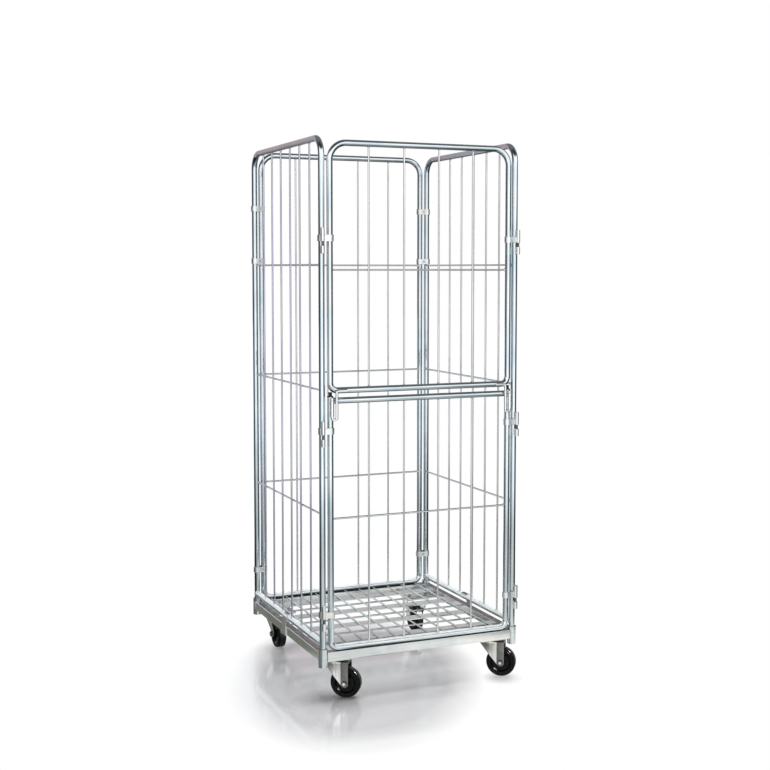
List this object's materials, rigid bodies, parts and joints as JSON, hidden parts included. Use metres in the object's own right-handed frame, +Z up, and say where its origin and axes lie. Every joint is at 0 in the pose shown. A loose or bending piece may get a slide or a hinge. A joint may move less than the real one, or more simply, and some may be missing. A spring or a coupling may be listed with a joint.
{
  "type": "roll container",
  "caption": "Tall wire-panelled cage of zinc-plated tube on a castored base, with a lift-off front gate in an upper and a lower half, for moving stacked goods.",
  "frame": {"origin": "on the floor, under the middle of the four posts", "axes": "+X along the front from left to right, +Y from the gate to the back panel, +Z up"},
  "size_m": [0.7212, 0.7371, 1.797],
  "materials": {
    "tube_zinc": "bright zinc plated",
    "wire_zinc": "bright zinc plated",
    "base_zinc": "bright zinc plated",
    "castor_zinc": "bright zinc plated",
    "bracket_zinc": "bright zinc plated",
    "fastener_zinc": "bright zinc plated",
    "wheel_black": "moulded, glossy",
    "plug_black": "moulded, matt"
  },
  "bodies": {
    "container": {"back_panel_frame": "tube_zinc", "back_panel_wires": "wire_zinc", "castor_bolts": "fastener_zinc", "castor_gussets": "base_zinc", "deck_bars": "base_zinc", "deck_wires": "wire_zinc", "front_beam": "base_zinc", "front_left_castor_plate": "castor_zinc", "front_left_king_pin": "fastener_zinc", "front_left_socket": "base_zinc", "front_left_swivel_race": "castor_zinc", "front_right_castor_plate": "castor_zinc", "front_right_king_pin": "fastener_zinc", "front_right_socket": "base_zinc", "front_right_swivel_race": "castor_zinc", "hook_sleeves": "bracket_zinc", "left_beam": "base_zinc", "left_panel_frame": "tube_zinc", "left_panel_wires": "wire_zinc", "left_side_strap": "bracket_zinc", "rear_beam": "base_zinc", "rear_clamp_bolts": "fastener_zinc", "rear_clamps": "bracket_zinc", "rear_left_axle": "fastener_zinc", "rear_left_axle_sleeve": "castor_zinc", "rear_left_fork": "castor_zinc", "rear_left_socket": "base_zinc", "rear_right_axle": "fastener_zinc", "rear_right_axle_sleeve": "castor_zinc", "rear_right_fork": "castor_zinc", "rear_right_socket": "base_zinc", "right_beam": "base_zinc", "right_panel_frame": "tube_zinc", "right_panel_wires": "wire_zinc", "right_side_strap": "bracket_zinc"},
    "lower_gate": {"lower_gate_frame": "tube_zinc", "lower_gate_wires": "wire_zinc", "lower_gate_hook_straps": "bracket_zinc", "lower_gate_hook_pins": "bracket_zinc", "gate_end_plugs": "plug_black", "retainer_sleeves": "bracket_zinc"},
    "upper_gate": {"upper_gate_frame": "tube_zinc", "upper_gate_wires": "wire_zinc", "upper_gate_hook_straps": "bracket_zinc", "upper_gate_hook_pins": "bracket_zinc"},
    "left_retainer": {"left_retainer_rod": "bracket_zinc"},
    "right_retainer": {"right_retainer_rod": "bracket_zinc"},
    "front_left_swivel": {"front_left_fork": "castor_zinc", "front_left_axle": "fastener_zinc", "front_left_axle_sleeve": "castor_zinc"},
    "front_left_wheel": {"front_left_wheel": "wheel_black"},
    "rear_left_wheel": {"rear_left_wheel": "wheel_black"},
    "front_right_swivel": {"front_right_fork": "castor_zinc", "front_right_axle": "fastener_zinc", "front_right_axle_sleeve": "castor_zinc"},
    "front_right_wheel": {"front_right_wheel": "wheel_black"},
    "rear_right_wheel": {"rear_right_wheel": "wheel_black"}
  },
  "joints": [
    {"name": "lower_gate_lift", "type": "slide", "parent": "container", "child": "lower_gate", "axis": [0, 0, 1], "range_m": [0, 0.04]},
    {"name": "upper_gate_lift", "type": "slide", "parent": "lower_gate", "child": "upper_gate", "axis": [0, 0, 1], "range_m": [0, 0.03]},
    {"name": "left_retainer_turn", "type": "hinge", "parent": "lower_gate", "child": "left_retainer", "pos_m": [-0.314, -0.3662, 0.95], "axis": [0, 0, -1], "range_deg": [0, 110]},
    {"name": "right_retainer_turn", "type": "hinge", "parent": "lower_gate", "child": "right_retainer", "pos_m": [0.314, -0.3662, 0.95], "axis": [0, 0, 1], "range_deg": [0, 110]},
    {"name": "front_left_swivel_turn", "type": "hinge", "parent": "container", "child": "front_left_swivel", "pos_m": [-0.283, -0.285, 0.118], "axis": [0, 0, 1], "continuous": true},
    {"name": "front_left_wheel_spin", "type": "hinge", "parent": "front_left_swivel", "child": "front_left_wheel", "pos_m": [-0.2474, -0.31086, 0.05], "axis": [0.5878, 0.809, 0], "continuous": true},
    {"name": "rear_left_wheel_spin", "type": "hinge", "parent": "container", "child": "rear_left_wheel", "pos_m": [-0.274, 0.301, 0.05], "axis": [1, 0, 0], "continuous": true},
    {"name": "front_right_swivel_turn", "type": "hinge", "parent": "container", "child": "front_right_swivel", "pos_m": [0.283, -0.285, 0.118], "axis": [0, 0, 1], "continuous": true},
    {"name": "front_right_wheel_spin", "type": "hinge", "parent": "front_right_swivel", "child": "front_right_wheel", "pos_m": [0.3186, -0.31086, 0.05], "axis": [0.5878, 0.809, 0], "continuous": true},
    {"name": "rear_right_wheel_spin", "type": "hinge", "parent": "container", "child": "rear_right_wheel", "pos_m": [0.274, 0.301, 0.05], "axis": [1, 0, 0], "continuous": true}
  ]
}
